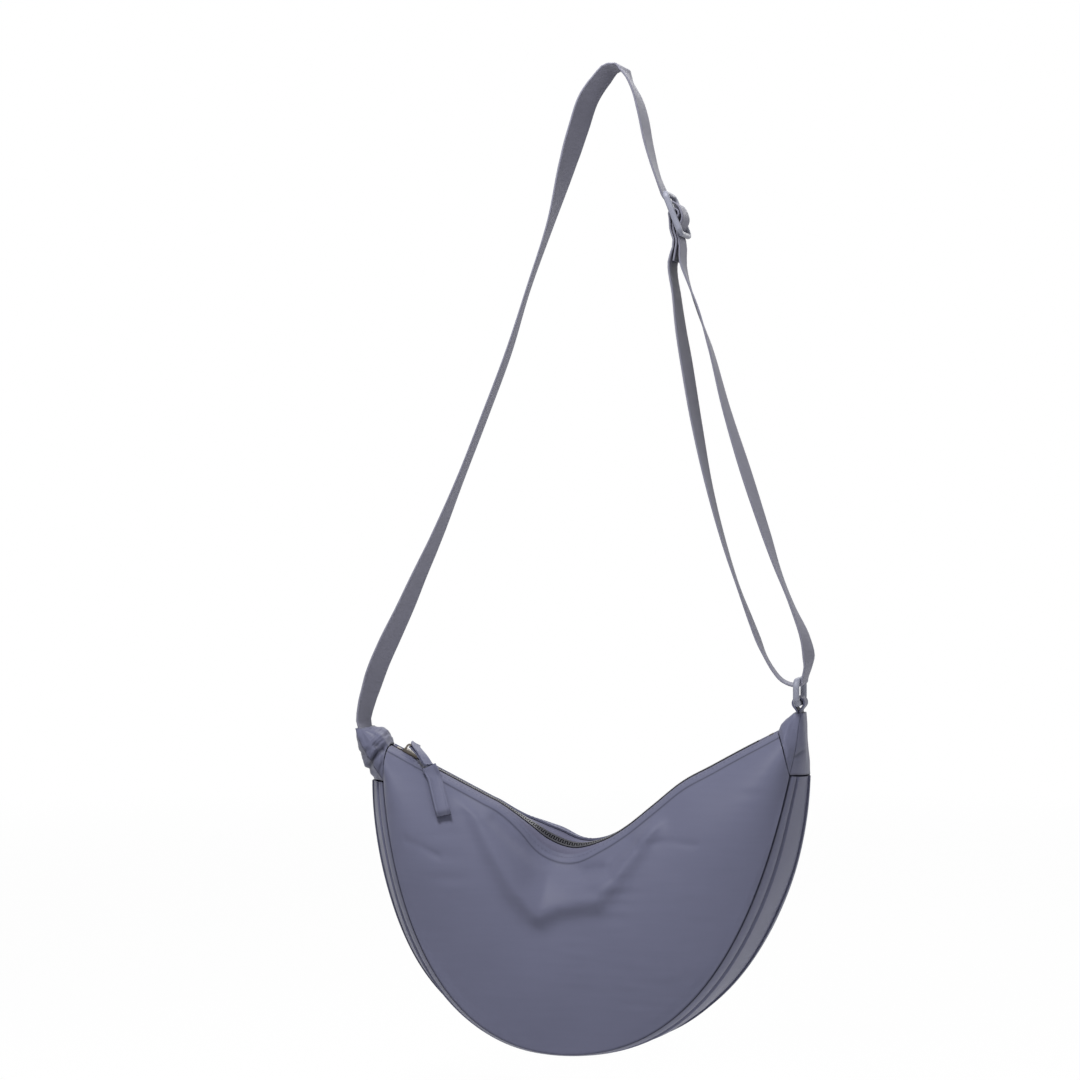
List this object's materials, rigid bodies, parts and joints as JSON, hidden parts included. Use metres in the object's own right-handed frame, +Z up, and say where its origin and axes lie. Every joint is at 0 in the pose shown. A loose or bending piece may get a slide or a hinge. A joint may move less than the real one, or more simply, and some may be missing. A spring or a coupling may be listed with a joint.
{
  "type": "crossbody dumpling bag",
  "caption": "Soft half-moon crossbody bag with a gusset, a zipped mouth, corner patches and an adjustable webbing strap, stored hanging from its strap.",
  "frame": {"origin": "underside of the strap where a hook or a hand carries the bag", "axes": "+Z up, X along the bag's width with the ring corner at +X, the front panel faces -Y"},
  "size_m": [0.2968, 0.0836, 0.6412],
  "materials": {
    "shell_fabric": "smooth satin nylon, softly creased",
    "webbing": "fine ribbed nylon webbing",
    "plastic": "moulded, dyed to match",
    "slider_metal": "dark plated zip hardware",
    "zip_tape": "woven tape",
    "zip_teeth": "moulded chain",
    "lining": "plain taffeta"
  },
  "bodies": {
    "strap": {"shoulder_strap": "webbing"},
    "adjuster": {"strap_adjuster": "plastic"},
    "bag": {"front_panel": "shell_fabric", "back_panel": "shell_fabric", "gusset": "shell_fabric", "left_corner_patch": "shell_fabric", "right_corner_patch": "shell_fabric", "corner_loop": "shell_fabric", "zip_tape_front": "zip_tape", "zip_tape_back": "zip_tape", "zip_teeth_front": "zip_teeth", "zip_teeth_back": "zip_teeth", "zip_stop_left": "slider_metal", "zip_stop_right": "slider_metal", "lining_front": "lining", "lining_back": "lining", "lining_gusset": "lining", "inner_pocket": "lining"},
    "ring": {"corner_ring": "plastic"},
    "slider": {"zip_slider": "slider_metal"},
    "pull": {"pull_loop": "shell_fabric", "pull_tab": "shell_fabric"}
  },
  "joints": [
    {"name": "bag_swing", "type": "hinge", "parent": "strap", "child": "bag", "pos_m": [-0.1672, 0, -0.43], "axis": [0.9933, 0, 0.1151], "range_deg": [-25, 25], "deforming": ["shoulder_strap"]},
    {"name": "ring_swing", "type": "hinge", "parent": "bag", "child": "ring", "pos_m": [0.1175, 0, -0.4114], "axis": [0, 1, 0], "range_deg": [-30, 30], "deforming": ["shoulder_strap"]},
    {"name": "adjuster_slide", "type": "slide", "parent": "strap", "child": "adjuster", "axis": [0.134, 0, -0.991], "range_m": [0, 0.075], "deforming": ["shoulder_strap"]},
    {"name": "zip_slide", "type": "slide", "parent": "bag", "child": "slider", "axis": [0.8894, 0, -0.4571], "range_m": [0, 0.06], "deforming": ["zip_teeth_front", "zip_teeth_back"]},
    {"name": "pull_swing", "type": "hinge", "parent": "slider", "child": "pull", "pos_m": [-0.13411, 0, -0.44247], "axis": [-0.8894, 0, 0.4571], "range_deg": [0, 195]}
  ]
}
